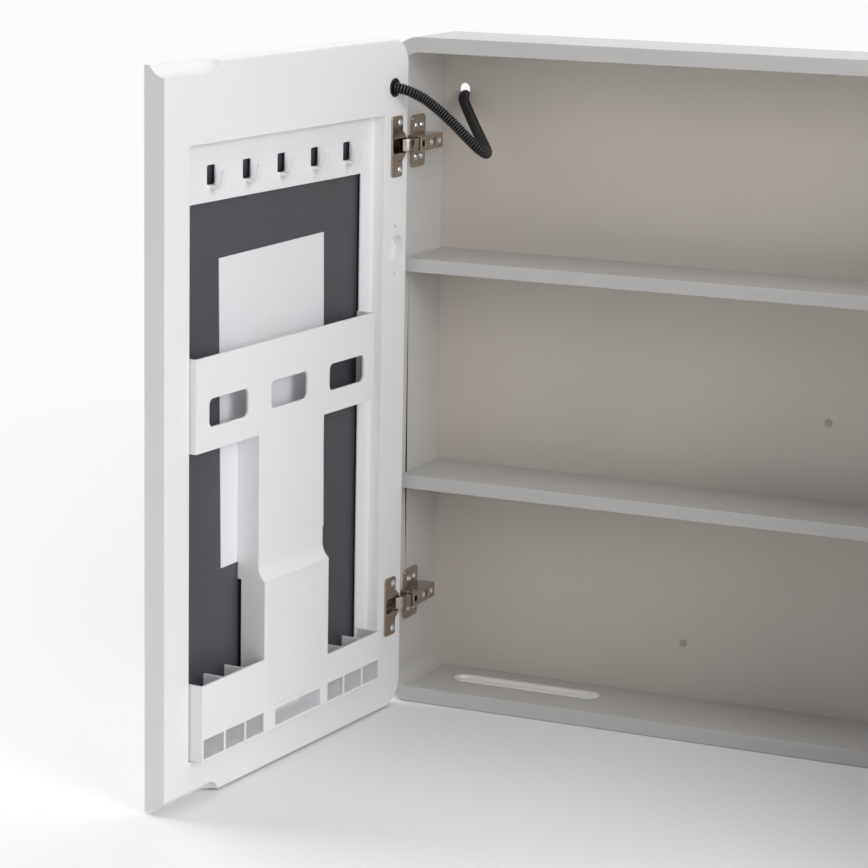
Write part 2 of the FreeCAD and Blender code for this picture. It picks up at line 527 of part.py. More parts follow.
def organizer():
    """The clip-in organizer: pocket bar, hollow stem with a shoulder, tray with dividers, and windows in front."""
    floor = "-recess_depth"
    stem_width = "stem_end - stem_start"

    def hollow(name, start, end, front, low, high, open_top, wall_at=("1", "1", "1"), skirt="0"):
        """An outer block and the block that hollows it, open at the back and perhaps on top."""
        depth, back = f"recess_depth + {front} + {skirt}", f"{floor} - {skirt}"
        outer = door_box(name + "_outer", (f"{end} - ({start})", depth, f"{high} - ({low})"), (start, back, low))
        left, right, under = (f"{w} * holder_wall" for w in wall_at)
        top = "0" if open_top else "holder_wall"
        inner = door_box(name + "_inner", (f"{end} - ({start}) - ({left}) - ({right})", f"{depth} - holder_wall",
                                           f"{high} - ({low}) - {under} - {top}"),
                         (f"{start} + {left}", back, f"{low} + {under}"))
        return outer, inner

    def shoulder():
        """The hollow-ground swell of the stem, from as proud as the bar to as proud as the tray."""
        block = door_box("shoulder_block", (stem_width, "tray_proud - bar_proud", "shoulder_rise"),
                         ("stem_start", "bar_proud", "shoulder_low"))
        sweep = door_rod("shoulder_sweep", "x", "shoulder_radius", stem_width,
                         ("stem_start", "bar_proud + shoulder_radius", "shoulder_low + shoulder_rise"))
        return cut("shoulder", block, sweep)

    blocks = [
        hollow("bar", "bar_start", "bar_end", "bar_proud", "bar_low", "bar_high", True),
        hollow("stem", "stem_start", "stem_end", "bar_proud", "shoulder_low", "bar_low", True, ("1", "1", "0"),
               "stem_skirt"),
        hollow("foot", "stem_start", "stem_end", "tray_proud", "tray_low", "shoulder_low", True),
        hollow("left_tray", "stem_end", "bar_end", "tray_proud", "tray_low", "left_tray_high", True,
               ("0", "1", "1")),
        hollow("right_tray", "tray_start", "stem_start", "tray_proud", "tray_low", "right_tray_high", True,
               ("1", "0", "1")),
    ]
    body = cut("organizer_body", fuse("organizer_outer", *[o for o, _ in blocks]),
               fuse("organizer_inner", *[i for _, i in blocks]))
    dividers, windows = [], []
    front = "tray_proud - holder_wall"
    for name, start, first, end, high in (
            ("left", "stem_end", "left_divider", "bar_end - holder_wall", "left_tray_high"),
            ("right", "tray_start + holder_wall", "right_divider", "stem_start", "right_tray_high")):
        second = f"{first} + divider_pitch"
        for i, at in enumerate((first, second)):
            dividers.append(door_box(f"{name}_divider_{i}", ("divider", f"recess_depth + {front} - divider_setback",
                                                             f"{high} - tray_low - holder_wall"),
                                     (at, f"{floor} + divider_setback", "tray_low + holder_wall")))
        bays = ((start, first), (f"{first} + divider", second), (f"{second} + divider", end))
        for i, (low, far) in enumerate(bays):
            windows.append(door_box(f"{name}_window_{i}", (f"{far} - ({low}) - 2 * tray_window_margin", "holder_wall",
                                                           "tray_window_height"),
                                    (f"{low} + tray_window_margin", front, "tray_low + holder_wall")))
    foot_window = ("foot_window_end - foot_window_start", "foot_window_depth", "foot_window_height")
    windows.append(door_box("foot_window", foot_window,
                            ("foot_window_start", "tray_proud - foot_window_depth", "foot_window_low")))
    backing = door_box("foot_window_backing", (stem_width, "foot_window_depth",
                                               "foot_window_height + 2 * holder_wall"),
                       ("stem_start", "tray_proud - foot_window_depth - holder_wall",
                        "foot_window_low - holder_wall"))
    for i in range(3):
        pane = door_box(f"bar_window_block_{i}", ("window_length", "holder_wall", "window_height"),
                        (f"window_first + {i} * window_pitch", "bar_proud - holder_wall", "window_low"))
        windows.append(rounded(f"bar_window_{i}", pane, "window_round", lambda edge: runs_along(edge, Y_AXIS)))
    plate = door_box("inset_plate", ("plate_end - plate_start", "plate_thickness", "plate_high - plate_low"),
                     ("plate_start", "tray_proud - plate_sunk - plate_thickness", "plate_low"))
    bed = door_box("plate_bed", ("plate_end - plate_start", "plate_sunk + plate_thickness", "plate_high - plate_low"),
                   ("plate_start", "tray_proud - plate_sunk - plate_thickness", "plate_low"))
    tab = door_box("clip_tab", ("tab_length", "tab_thickness", "tab_height"),
                   ("bar_start - tab_length", "0", "bar_low + holder_wall"))
    return cut("organizer", fuse("organizer_solid", body, shoulder(), backing, tab, *dividers), *windows, bed), plate


def grommet():
    """The flanged grommet where the conduit enters the door."""
    flange = door_rod("grommet_flange", "y", "grommet_flange", "grommet_rim", ("grommet_inset", "0", "grommet_z"))
    neck = door_rod("grommet_neck", "y", "grommet_neck", "grommet_neck_length",
                    ("grommet_inset", "-grommet_neck_length", "grommet_z"))
    bore = door_rod("grommet_bore", "y", "conduit_radius + conduit_clearance", "grommet_neck_length + grommet_rim",
                    ("grommet_inset", "-grommet_neck_length", "grommet_z"))
    hole = door_rod("grommet_hole", "y", "grommet_neck", "grommet_neck_length",
                    ("grommet_inset", "-grommet_neck_length", "grommet_z"))
    return cut("grommet", fuse("grommet_solid", flange, neck), bore), hole


# Bends of the conduit between its straight ends: from the left side, from the carcass front, below the grommet
CONDUIT_BENDS = [(50.3, -25.2, 10.3), (64.1, -20.4, 21.3), (78.8, -15.6, 34.8), (92.8, -9.2, 50.6),
                 (102.8, 0.2, 62.4), (102.4, 20.8, 68.7), (84.2, 46.9, 58.4), (69, 63, 46.1), (55, 76.4, 31.7)]


def tangent_path(points):
    """A wire of straight runs joined by tangent arcs, as large as the runs allow, and the arcs' radii."""
    share = 0.45
    edges, radii = [], []
    last = points[0]
    for before, at, after in zip(points, points[1:], points[2:]):
        back, ahead = (before - at), (after - at)
        reach = share * min(back.Length, ahead.Length)
        back.normalize()
        ahead.normalize()
        half_turn = (math.pi - back.getAngle(ahead)) / 2
        radius = reach / math.tan(half_turn)
        bisector = (back + ahead).normalize()
        middle = at + bisector * (radius / math.cos(half_turn) - radius)
        start, end = at + back * reach, at + ahead * reach
        edges += [Part.LineSegment(last, start).toShape(), Part.Arc(start, middle, end).toShape()]
        radii.append(radius)
        last = end
    edges.append(Part.LineSegment(last, points[-1]).toShape())
    return Part.Wire(edges), radii


def conduit():
    """The corrugated conduit: a ribbed tube with a bore, from the door's grommet to the hole in the back panel."""
    turn = FreeCAD.Rotation(Z_AXIS, -value("door_angle"))
    pivot = FreeCAD.Vector(value("pivot_x"), value("pivot_y"), 0)
    shut = FreeCAD.Vector(value("hinge_edge + grommet_inset"), value("-door_reveal - grommet_rim"),
                          value("grommet_z"))
    start = pivot + turn.multVec(shut - pivot)
    end = FreeCAD.Vector(value("side + conduit_hole_from_side"), value("back_rear"), value("conduit_hole_z"))
    first, last = turn.multVec(Y_AXIS) * value("conduit_end_run"), Y_AXIS * value("conduit_wall_run")
    bends = [FreeCAD.Vector(value("side") + x, y, value("grommet_z") - below) for x, y, below in CONDUIT_BENDS]
    route = [start, start + first, *bends, end - last, end]
    path, radii = tangent_path(route)
    outer, groove = value("conduit_radius"), value("conduit_radius - conduit_groove")
    count = min(200, int(path.Length // value("conduit_pitch")))
    pitch = path.Length / count
    spine = path.discretize(Number=4 * count + 1)
    steps = [spine[i + 1] - spine[i] for i in range(len(spine) - 1)]
    x_axis = Z_AXIS.cross(steps[0]).normalize()
    rings = []
    for i, point in enumerate(spine):
        along = (steps[max(i - 1, 0)] + steps[min(i, len(steps) - 1)]).normalize()
        x_axis = (x_axis - along * x_axis.dot(along)).normalize()
        radius = outer if i % 4 in (1, 2) else groove
        circle = Part.Circle(point, along, radius)
        circle.XAxis = x_axis
        rings.append(Part.Wire(circle.toShape()))
    skin = Part.makeLoft(rings, True, True)
    bore_rings = []
    for ring in rings[::2] + ([] if len(rings) % 2 else [rings[-1]]):
        circle = ring.Edges[0].Curve
        inner = Part.Circle(circle.Center, circle.Axis, value("conduit_bore"))
        inner.XAxis = circle.XAxis
        bore_rings.append(Part.Wire(inner.toShape()))
    tube = skin.cut(Part.makeLoft(bore_rings, True, True))
    skip = int(4 * outer / pitch * 4)
    nearest = min((spine[i] - spine[j]).Length for i in range(len(spine)) for j in range(i + skip, len(spine)))
    print(f"conduit length {path.Length:.1f} mm, {count} ribs, least gap to itself {nearest - 2 * outer:.1f} mm")
    print("conduit bend radii", [round(r, 1) for r in radii], f"tube volume {tube.Volume:.0f} mm3")
    made = doc.addObject("Part::Feature", "conduit")
    made.Shape = tube
    return made


def carcass():
    """Panels, corner pieces, back, shelves, lights and wall fittings."""
    screws = back_screws()
    plates, hanger_screws = hangers()
    dowels, caps, holes = [], [], []
    for sign, end in ((1, "left"), (-1, "right")):
        for shelf in ("upper_shelf", "lower_shelf"):
            for i, y in enumerate(("dowel_inset", "carcass_depth - dowel_inset")):
                start = "inner_side - dowel_grip" if sign > 0 else "-(inner_side) - dowel_grip"
                dowels.append(rod(f"dowel_{end}_{shelf}_{i}", "x", "dowel_radius", "2 * dowel_grip",
                                  (start, y, f"{shelf}_z + shelf_thickness / 2")))
        hole_x = f"{sign} * (side + conduit_hole_from_side)"
        ends = [rod(f"conduit_hole_{end}_{i}", "y", "conduit_radius + conduit_clearance", "back_thickness",
                    (hole_x, "carcass_depth", f"conduit_hole_z + {i} * conduit_hole_rise")) for i in (0, 1)]
        middle = box(f"conduit_hole_{end}_middle", ("2 * (conduit_radius + conduit_clearance)", "back_thickness",
                                                    "conduit_hole_rise"),
                     (f"{hole_x} - conduit_radius - conduit_clearance", "carcass_depth", "conduit_hole_z"))
        holes.append(fuse(f"conduit_hole_{end}", *ends, middle))
    for i, (x, z) in enumerate((("-low_cap_from_middle", "low_cap_z"), ("low_cap_from_middle", "low_cap_z"),
                                ("0", "mid_cap_z"))):
        disc = rod(f"cap_disc_{i}", "y", "cap_radius", "cap_height", (x, "carcass_depth - cap_height", z))
        stem = rod(f"cap_stem_{i}", "y", "cap_stem_radius", "back_thickness", (x, "carcass_depth", z))
        caps.append(fuse(f"cap_{i}", disc, stem))
    lights = [downlight(i, sign) for i, sign in enumerate((-1, 1))]
    hinges = [mounting_hardware(name, name + "_z") for name in ("low_hinge", "high_hinge")]
    plate_screws = [screw for hinge in hinges for screw in hinge["plate_screws"]]

    upright = ("panel", "carcass_depth", "cabinet_height - 2 * corner_radius")
    left = rounded("left_side_eased", box("left_side", upright, ("side", "0", "corner_radius")), "edge_round",
                   front_edges(Z_AXIS))
    right = rounded("right_side_eased", box("right_side", upright, ("-(side) - panel", "0", "corner_radius")),
                    "edge_round", front_edges(Z_AXIS))
    keep("left_side_panel", cut("left_side_drilled", left, *dowels, *screws, *plate_screws))
    drilled = doc.addObject("Part::Mirroring", "right_plate_screws_tool")
    drilled.Source = group("plate_screws_tool", plate_screws)
    drilled.Base = (0, 0, 0)
    drilled.Normal = (1, 0, 0)
    keep("right_side_panel", cut("right_side_drilled", right, *dowels, *screws, drilled))

    level = ("cabinet_width - 2 * corner_radius", "carcass_depth", "panel")
    top = box("top", level, ("side + corner_radius", "0", "cabinet_height - panel"))
    top = rounded("top_eased", top, "edge_round",
                  front_edges(X_AXIS))
    keep("top_panel", cut("top_drilled", top, *screws, *hanger_screws))
    bottom = rounded("bottom_eased", box("bottom", level, ("side + corner_radius", "0", "0")), "edge_round",
                     front_edges(X_AXIS))
    keep("bottom_panel", cut("bottom_drilled", bottom, *screws, *[slot for _, _, slot in lights]))

    for end, x, x_low in (("left", "side + corner_radius", "side"),
                          ("right", "-(side) - corner_radius", "-(side) - corner_radius")):
        for storey, z, z_low in (("lower", "corner_radius", "0"),
                                 ("upper", "cabinet_height - corner_radius", "cabinet_height - corner_radius")):
            name = f"{storey}_{end}"
            outer = rod(f"{name}_outer", "y", "corner_radius", "carcass_depth", (x, "0", z))
            inner = rod(f"{name}_inner", "y", "corner_radius - panel", "carcass_depth", (x, "0", z))
            quarter = make("Part::Box", f"{name}_quarter", Length="corner_radius", Width="carcass_depth",
                           Height="corner_radius", Placement__Base__x=x_low, Placement__Base__y="0",
                           Placement__Base__z=z_low)
            piece = doc.addObject("Part::Common", f"{name}_arc")
            piece.Base = cut(f"{name}_ring", outer, inner)
            piece.Tool = quarter
            keep(f"{name}_corner", rounded(f"{name}_arc_eased", piece, "edge_round",
                                           lambda edge: isinstance(edge.Curve, Part.Circle)
                                           and abs(edge.CenterOfMass.y) < 1e-6))

    back = box("back", ("cabinet_width - 2 * back_inset", "back_thickness", "cabinet_height - 2 * back_inset"),
               ("side + back_inset", "carcass_depth", "back_inset"))
    back = rounded("back_rounded", back, "corner_radius - back_inset", lambda edge: runs_along(edge, Y_AXIS))
    keep("back_panel", cut("back_drilled", back, *holes, *screws, *hanger_screws, *caps))
    keep("back_panel_screws", *screws)
    keep("screw_caps", *caps)
    for shelf in ("upper_shelf", "lower_shelf"):
        board = box(shelf + "_board", ("cabinet_width - 2 * panel - 2 * shelf_clearance",
                                       "carcass_depth - shelf_setback - shelf_clearance", "shelf_thickness"),
                    ("inner_side + shelf_clearance", "shelf_setback", shelf + "_z"))
        front = value("shelf_setback")
        eased = rounded(shelf + "_eased", board, "edge_round",
                        lambda edge: runs_along(edge, X_AXIS) and abs(edge.CenterOfMass.y - front) < 1e-6)
        keep(shelf, cut(shelf + "_drilled", eased, *dowels))
    keep("shelf_dowels", *dowels)
    keep("downlight_bezels", *[bezel for bezel, _, _ in lights])
    keep("downlight_covers", *[cover for _, cover, _ in lights])
    keep("hanger_plates", *plates)
    keep("hanger_screws", *hanger_screws)
    keep("wall_spacers", *[rod(f"spacer_{i}", "y", "spacer_radius", "wall_standoff",
                               (f"{sign} * hanger_spacing / 2", "back_rear", "spacer_z"))
                           for i, sign in enumerate((-1, 1))])
    keep_pair("mounting_plates", *[hinge["mounting_plates"] for hinge in hinges], door=False)
    keep_pair("plate_screws", *plate_screws, door=False)
    keep_pair("hinge_arms", *[hinge["hinge_arms"] for hinge in hinges], door=False)
    keep_pair("adjusting_screws", *[screw for hinge in hinges for screw in hinge["adjusting_screws"]], door=False)
    keep_pair("hinge_links", *[hinge["hinge_links"] for hinge in hinges], door=False)
    keep_pair("conduit", conduit(), door=False)


def doors():
    """The left door's sub-parts and their right-hand twins."""
    hinges = [door_hardware(name, name + "_z") for name in ("low_hinge", "high_hinge")]
    screws = [screw for hinge in hinges for screw in hinge["cup_screws"]]
    ring, ring_hole = grommet()
    keep_pair("door_shell", door_shell([hinge["hole"] for hinge in hinges], [ring_hole, *screws]))
    glass = door_slab("mirror_glass", "glass_lip + glass_clearance", "glass_thickness", "-door_thickness")
    keep_pair("mirror", glass)
    board, driver, diffuser = light_fittings()
    keep_pair("led_board", board)
    keep_pair("led_driver", driver)
    keep_pair("light_diffuser", diffuser)
    pad, label = demister()
    keep_pair("demister_pad", pad)
    keep_pair("pad_label", label)
    holder, plate = organizer()
    keep_pair("organizer", holder)
    keep_pair("organizer_plate", plate)
    keep_pair("conduit_grommet", ring)
    keep_pair("hinge_cups", *[hinge["hinge_cups"] for hinge in hinges])
    keep_pair("cup_screws", *screws)
    keep_pair("hinge_pins", *[hinge["hinge_pins"] for hinge in hinges])


def check_and_write():
    """Stops on any failed object or bad shape, then writes one STEP file per sub-part."""
    doc.recompute()
    failed = [o.Label for o in doc.Objects if {"Invalid", "Error"} & set(o.State)]
    failed += [p.Label for p in parts if p.Shape.isNull() or not p.Shape.isValid() or not p.Shape.Solids]
    if failed:
        raise RuntimeError("failed: " + ", ".join(failed))
    os.makedirs("parts", exist_ok=True)
    for part in parts:
        part.Shape.exportStep(f"parts/{part.Label}.step")
    print(f"{len(parts)} sub-parts, {sum(len(p.Shape.Solids) for p in parts)} solids")


carcass()
doors()
check_and_write()
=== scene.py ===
"""Finishes, fine pieces and studio for a lighted mirror cabinet with two hinged doors."""
import json
import math

import bmesh
import bpy
from mathutils import Matrix, Vector


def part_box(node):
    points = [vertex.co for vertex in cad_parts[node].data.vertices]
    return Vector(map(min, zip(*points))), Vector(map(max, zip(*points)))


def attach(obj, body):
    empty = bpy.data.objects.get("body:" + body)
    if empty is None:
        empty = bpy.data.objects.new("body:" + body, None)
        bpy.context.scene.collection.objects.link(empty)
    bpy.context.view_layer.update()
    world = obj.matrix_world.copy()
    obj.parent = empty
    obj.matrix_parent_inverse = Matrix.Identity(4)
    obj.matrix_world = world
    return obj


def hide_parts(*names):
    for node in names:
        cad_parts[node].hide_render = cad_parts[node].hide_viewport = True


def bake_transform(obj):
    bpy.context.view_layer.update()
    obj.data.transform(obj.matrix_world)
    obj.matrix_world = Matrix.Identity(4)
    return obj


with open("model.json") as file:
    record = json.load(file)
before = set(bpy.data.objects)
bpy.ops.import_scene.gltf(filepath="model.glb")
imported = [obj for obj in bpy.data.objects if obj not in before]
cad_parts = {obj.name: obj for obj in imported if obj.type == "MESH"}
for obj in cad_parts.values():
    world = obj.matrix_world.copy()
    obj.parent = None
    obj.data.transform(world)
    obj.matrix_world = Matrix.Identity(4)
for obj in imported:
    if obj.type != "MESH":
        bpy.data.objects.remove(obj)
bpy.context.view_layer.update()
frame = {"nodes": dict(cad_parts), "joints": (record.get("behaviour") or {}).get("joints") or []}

bl_info = {
    "name": "Lighted mirror cabinet",
    "version": (1, 0, 0),
    "blender": (4, 5, 0),
    "location": "View3D > Sidebar > Cabinet",
    "description": "Dresses the packed mirror cabinet with finishes, hinges, conduits and a studio",
    "category": "Object",
}

NODES = frame["nodes"]
SIDES = ("left", "right")
FLIP = Matrix.Scale(-1, 4, (1, 0, 0))

# Bench millimetres, from the left side, the carcass front and the underside, to the frame in metres
MM = 0.001
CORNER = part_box("lower_left_corner")[0]
BENCH = Matrix.Translation(CORNER) @ Matrix.Scale(MM, 4)
WIDTH, _, HEIGHT = (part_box("upper_right_corner")[1] - CORNER) / MM
INNER_FACE = (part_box("left_side_panel")[1].x - CORNER.x) / MM
REAR_FACE = (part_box("back_panel")[1].y - CORNER.y) / MM

# Door millimetres, from the hinge edge, the rear face and the underside, to the frame with the door open
SWING = next(joint for joint in frame["joints"] if joint["name"] == "left_door_swing")
PIVOT = Vector(SWING["pos_m"])
OPEN_ANGLE = math.radians(SWING["range_deg"][1])
DOOR_CORNER = Vector((1, -3, 0))
TURN = Matrix.Translation(PIVOT) @ Matrix.Rotation(-OPEN_ANGLE, 4, "Z") @ Matrix.Translation(-PIVOT)
DOOR = TURN @ BENCH @ Matrix.Translation(DOOR_CORNER)

HINGE_HEIGHTS = (110, 591)

# Screws: radius and height of the head, radius and reach of the shank
PLATE_SCREW = (3.6, 1.8, 2, 13)
ADJUSTING_SCREW = (3.4, 1.4, 2, 9)
CUP_SCREW = (3.8, 1.6, 1.75, 13)
BACK_SCREW = (3.5, 1.6, 1.75, 18)
HANGER_SCREW = (4, 2, 2, 20)

# Where the screws sit: on the hinges' plates, arms and cups, round the back panel and on the hangers
PLATE_THICKNESS = 2.5
PLATE_MIDDLE = 33.5
PLATE_HALF_PITCHES = (6.5, 16)
ARM_TOP = 19
ADJUSTER_DEPTHS = (29, 48)
CUP_MIDDLE = 20
CUP_FLANGE = 2
CUP_HALF_PITCH = 24
BACK_EDGE = 8
BACK_PITCH = (260, 208)
HANGER_FROM_MIDDLE = 380
HANGER_FOOT = 29
HANGER_THICKNESS = 2

# The first screw's turn, and the turn from each to the next, in radians
SCREW_TURN = (0.7, 1.9)

# Screw head in shares of its radius and height: the rim's points, and the cross recess, whose two cutters clear the
# head by different heights so that they share no plane there
DOME_STEPS = 8
HEAD_RIM = ((0.985, 0.06), (0.97, 0))
CROSS_REACH = 0.56
CROSS_HALF_WIDTH = 0.13
CROSS_DEPTH = 0.72
CROSS_TAPER = 0.62
CROSS_CLEARS = (1.3, 1.3001)

# Hinge arm from its hinge's height: corners of the pressing, and of the channel and the slots cut from it
ARM_PRESSING = ((18.5, 4, -7.8), (35, 58, 7.8))
ARM_CUTS = (((10, 0, -6.3), (33.5, 56.4, 6.3)), ((30, 36.6, -4.4), (40, 40.4, 4.4)), ((30, 7, -3), (40, 15, 3)))

# Mirror in door millimetres: its edges, its rounding, and the inset and depth of its rear, front edge and face
MIRROR_NEAR, MIRROR_FAR = 2.2, 445.3
MIRROR_LOW, MIRROR_HIGH = 4.2, 697.3
MIRROR_ROUND, ROUND_STEPS = 25.8, 16
MIRROR_STEPS = ((0.0, -18), (0.0, -21), (1.4, -22))
BAND_ACROSS, BAND_UP = (44, 404), (640, 672)

# Edges shorter than this, in millimetres, are merged after carving
SLIVER = 0.002

# Sides of round pieces
SECTORS = 32

# Widths of eased edges in metres, steps over them, and the angle from which an edge counts as sharp
BOARD_EASE, MOULDED_EASE, TRIM_EASE, INSET_EASE = 0.0004, 0.0005, 0.0006, 0.0003
HINGE_EASE, ARM_EASE, HANGER_EASE = 0.0004, 0.0007, 0.0005
EASE_STEPS = 2
SHARP_ANGLE = math.radians(40)

# What joins a node's facets before easing: points this close, in metres, and faces this flat
JOINED = 0.00002
FLAT_ANGLE = math.radians(1)
FACE_WEIGHT = 80

# Where the conduit goes: from the left side, the carcass front and the underside, in millimetres
CONDUIT_BENDS = [(50.3, -25.2, 640.7), (64.1, -20.4, 629.7), (78.8, -15.6, 616.2), (92.8, -9.2, 600.4),
                 (102.8, 0.2, 588.6), (102.4, 20.8, 582.3), (84.2, 46.9, 592.6), (69, 63, 604.9),
                 (55, 76.4, 619.3)]
CONDUIT_START = [(30, -2, 651), (30, 10, 651)]
CONDUIT_END = [(40, 93, 633.6), (40, 104, 633.6)]

# How far a rib swells out of its groove, in equal steps along the conduit
RIB_SWELL = (0.0, 0.15, 0.7, 0.96, 1.0, 0.96, 0.7, 0.15)
RIB_STEPS = len(RIB_SWELL)
ROUTE_STEPS = 24

# Camera: lens and sensor in millimetres, place in metres, and its right, down and ahead
LENS, SENSOR = 127.88, 36
CAMERA_PLACE = (0.88529, -2.97477, 0.25849)
CAMERA_AXES = ((0.91142, 0.41108, 0.01808), (0.0983, -0.17486, -0.97967), (-0.39956, 0.89467, -0.19978))
CLIP_END = 60

# Floor: radius, sides, how far it lies under the cabinet, and where it fades into the background
FLOOR_RADIUS, FLOOR_SIDES = 9, 96
FLOOR_GAP = 0.0004
FLOOR_FADE = (0.7, 2.2)
FLOOR_ROUGHNESS, FLOOR_SHINE = 0.7, 0.2
BACKGROUND = (0.97, 0.97, 0.97, 1)
AMBIENT_COLOUR = (0.95, 0.96, 1, 1)

# The middle of a noise, which is spread over a finish's range, the smoothest finish, and samples of a soft edge
NOISE_MIDDLE = (0.3, 0.7)
SMOOTHEST = 0.02
EDGE_SAMPLES = 6

# Lamps: where they stand, what they point at, their width and height in metres, and their power in watts
LAMPS = {
    "overhead_lamp": ((0.3, -0.3, 4.2), (0.3, -0.3, 0.0), (5.0, 4.0), 88),
    "right_lamp": ((2.4, -1.6, 0.5), (-0.3, -0.1, -0.3), (1.6, 1.6), 43),
    "high_lamp": ((2.2, -1.4, 1.6), (-0.4, -0.3, -0.3), (1.6, 1.6), 15),
    "front_lamp": ((1.7, -2.6, 0.9), (-0.4, -0.3, -0.3), (1.6, 1.6), 9),
    "left_lamp": ((-2.6, -0.2, 1.0), (-0.7, -0.5, -0.67), (2.0, 1.6), 47),
    "rear_lamp": ((0.0, 1.6, 1.6), (0.0, 0.0, -0.2), (2.5, 1.5), 12),
    "strip_lamp": ((0.45, -1.5, 1.0), (-0.35, -0.1, -0.1), (0.3, 0.04), 0.6),
}


def shade(name, description, red, green, blue):
    """A colour setting."""
    return bpy.props.FloatVectorProperty(name=name, description=description, default=(red, green, blue), size=3,
                                         min=0, max=1, subtype="COLOR")


def length(name, description, metres):
    """A size setting."""
    return bpy.props.FloatProperty(name=name, description=description, default=metres, min=0, precision=5,
                                   unit="LENGTH", subtype="DISTANCE")


class CabinetFinishes(bpy.types.PropertyGroup):
    """Colours of the finishes."""
    lacquer: shade("Lacquer", "Satin lacquer of the carcass and shelves", 0.54, 0.533, 0.522)
    back: shade("Back board", "Face of the back panel", 0.61, 0.56, 0.51)
    moulding: shade("Moulding", "White moulded doors and organizers", 0.812, 0.812, 0.83)
    mirror_paint: shade("Mirror paint", "Paint on the back of the mirrors", 0.066, 0.070, 0.080)
    nickel: shade("Nickel", "Plating of the hinges", 0.43, 0.365, 0.31)
    zinc: shade("Zinc", "Plating of the screws", 0.80, 0.85, 0.87)
    conduit: shade("Conduit", "Ribs of the conduits", 0.03, 0.03, 0.031)
    # Black of the grommets; the conduits' grooves take it too, as painted shade far darker than their crests
    rubber: shade("Black", "Grommets, and the grooves of the conduits", 0.0035, 0.0035, 0.004)


class ConduitSizes(bpy.types.PropertyGroup):
    """Sizes of the corrugated conduits."""
    radius: length("Radius", "Outside of the ribs", 0.0057)
    groove: length("Groove", "Depth of the grooves between the ribs", 0.0012)
    bore: length("Bore", "Radius of the bore", 0.0041)
    pitch: length("Pitch", "Distance from rib to rib", 0.00285)


class StudioSettings(bpy.types.PropertyGroup):
    """Light and floor."""
    floor: shade("Floor", "Colour of the floor", 0.88, 0.87, 0.86)
    ambient: bpy.props.FloatProperty(name="Ambient", description="Strength of the light from all round",
                                     default=0.12, min=0)
    lamps: bpy.props.FloatProperty(name="Lamps", description="Share of the lamps' full power", default=1, min=0)


def wire(material, kind, inputs=None, **fields):
    """A node with its fields set, and its inputs set or linked."""
    made = material.node_tree.nodes.new(kind)
    for field, setting in fields.items():
        setattr(made, field, setting)
    for socket, setting in (inputs or {}).items():
        if isinstance(setting, bpy.types.NodeSocket):
            material.node_tree.links.new(setting, made.inputs[socket])
        else:
            made.inputs[socket].default_value = setting
    return made


def grain(material, scale, detail):
    """A noise over the piece, with a grain of a size per metre."""
    place = wire(material, "ShaderNodeTexCoord").outputs["Object"]
    return wire(material, "ShaderNodeTexNoise", {"Vector": place, "Scale": scale, "Detail": detail}).outputs["Fac"]


def spread(material, source, low, high):
    """Maps the middle of a noise to a range."""
    return wire(material, "ShaderNodeMapRange", {"Value": source, "From Min": NOISE_MIDDLE[0],
                                                 "From Max": NOISE_MIDDLE[1], "To Min": low,
                                                 "To Max": high}).outputs["Result"]


def mixed(name, colour, roughness, metal=0.0, tone=0.03, tone_scale=9, gloss=0.05, gloss_scale=40, bump=0.0,
          bump_scale=900, bump_depth=0.00004, edge=0.0, **sockets):
    """A material whose tone, gloss and surface vary a little over the piece."""
    made = bpy.data.materials.new(name)
    made.use_nodes = True
    shader = made.node_tree.nodes["Principled BSDF"]
    links = made.node_tree.links
    ramp = wire(made, "ShaderNodeValToRGB", {"Fac": grain(made, tone_scale, detail=4)})
    for stop, factor, place in zip(ramp.color_ramp.elements, (1 - tone, 1 + tone), NOISE_MIDDLE):
        stop.position = place
        stop.color = (*(min(1, c * factor) for c in colour), 1)
    links.new(ramp.outputs["Color"], shader.inputs["Base Color"])
    sheen = grain(made, gloss_scale, detail=3)
    links.new(spread(made, sheen, max(SMOOTHEST, roughness - gloss), roughness + gloss), shader.inputs["Roughness"])
    relief = wire(made, "ShaderNodeBump", {"Height": grain(made, bump_scale, detail=2), "Strength": bump,
                                           "Distance": bump_depth})
    if edge:
        soft = wire(made, "ShaderNodeBevel", {"Radius": edge}, samples=EDGE_SAMPLES)
        links.new(soft.outputs["Normal"], relief.inputs["Normal"])
    links.new(relief.outputs["Normal"], shader.inputs["Normal"])
    shader.inputs["Metallic"].default_value = metal
    for socket, setting in sockets.items():
        shader.inputs[socket.replace("_", " ")].default_value = setting
    return made


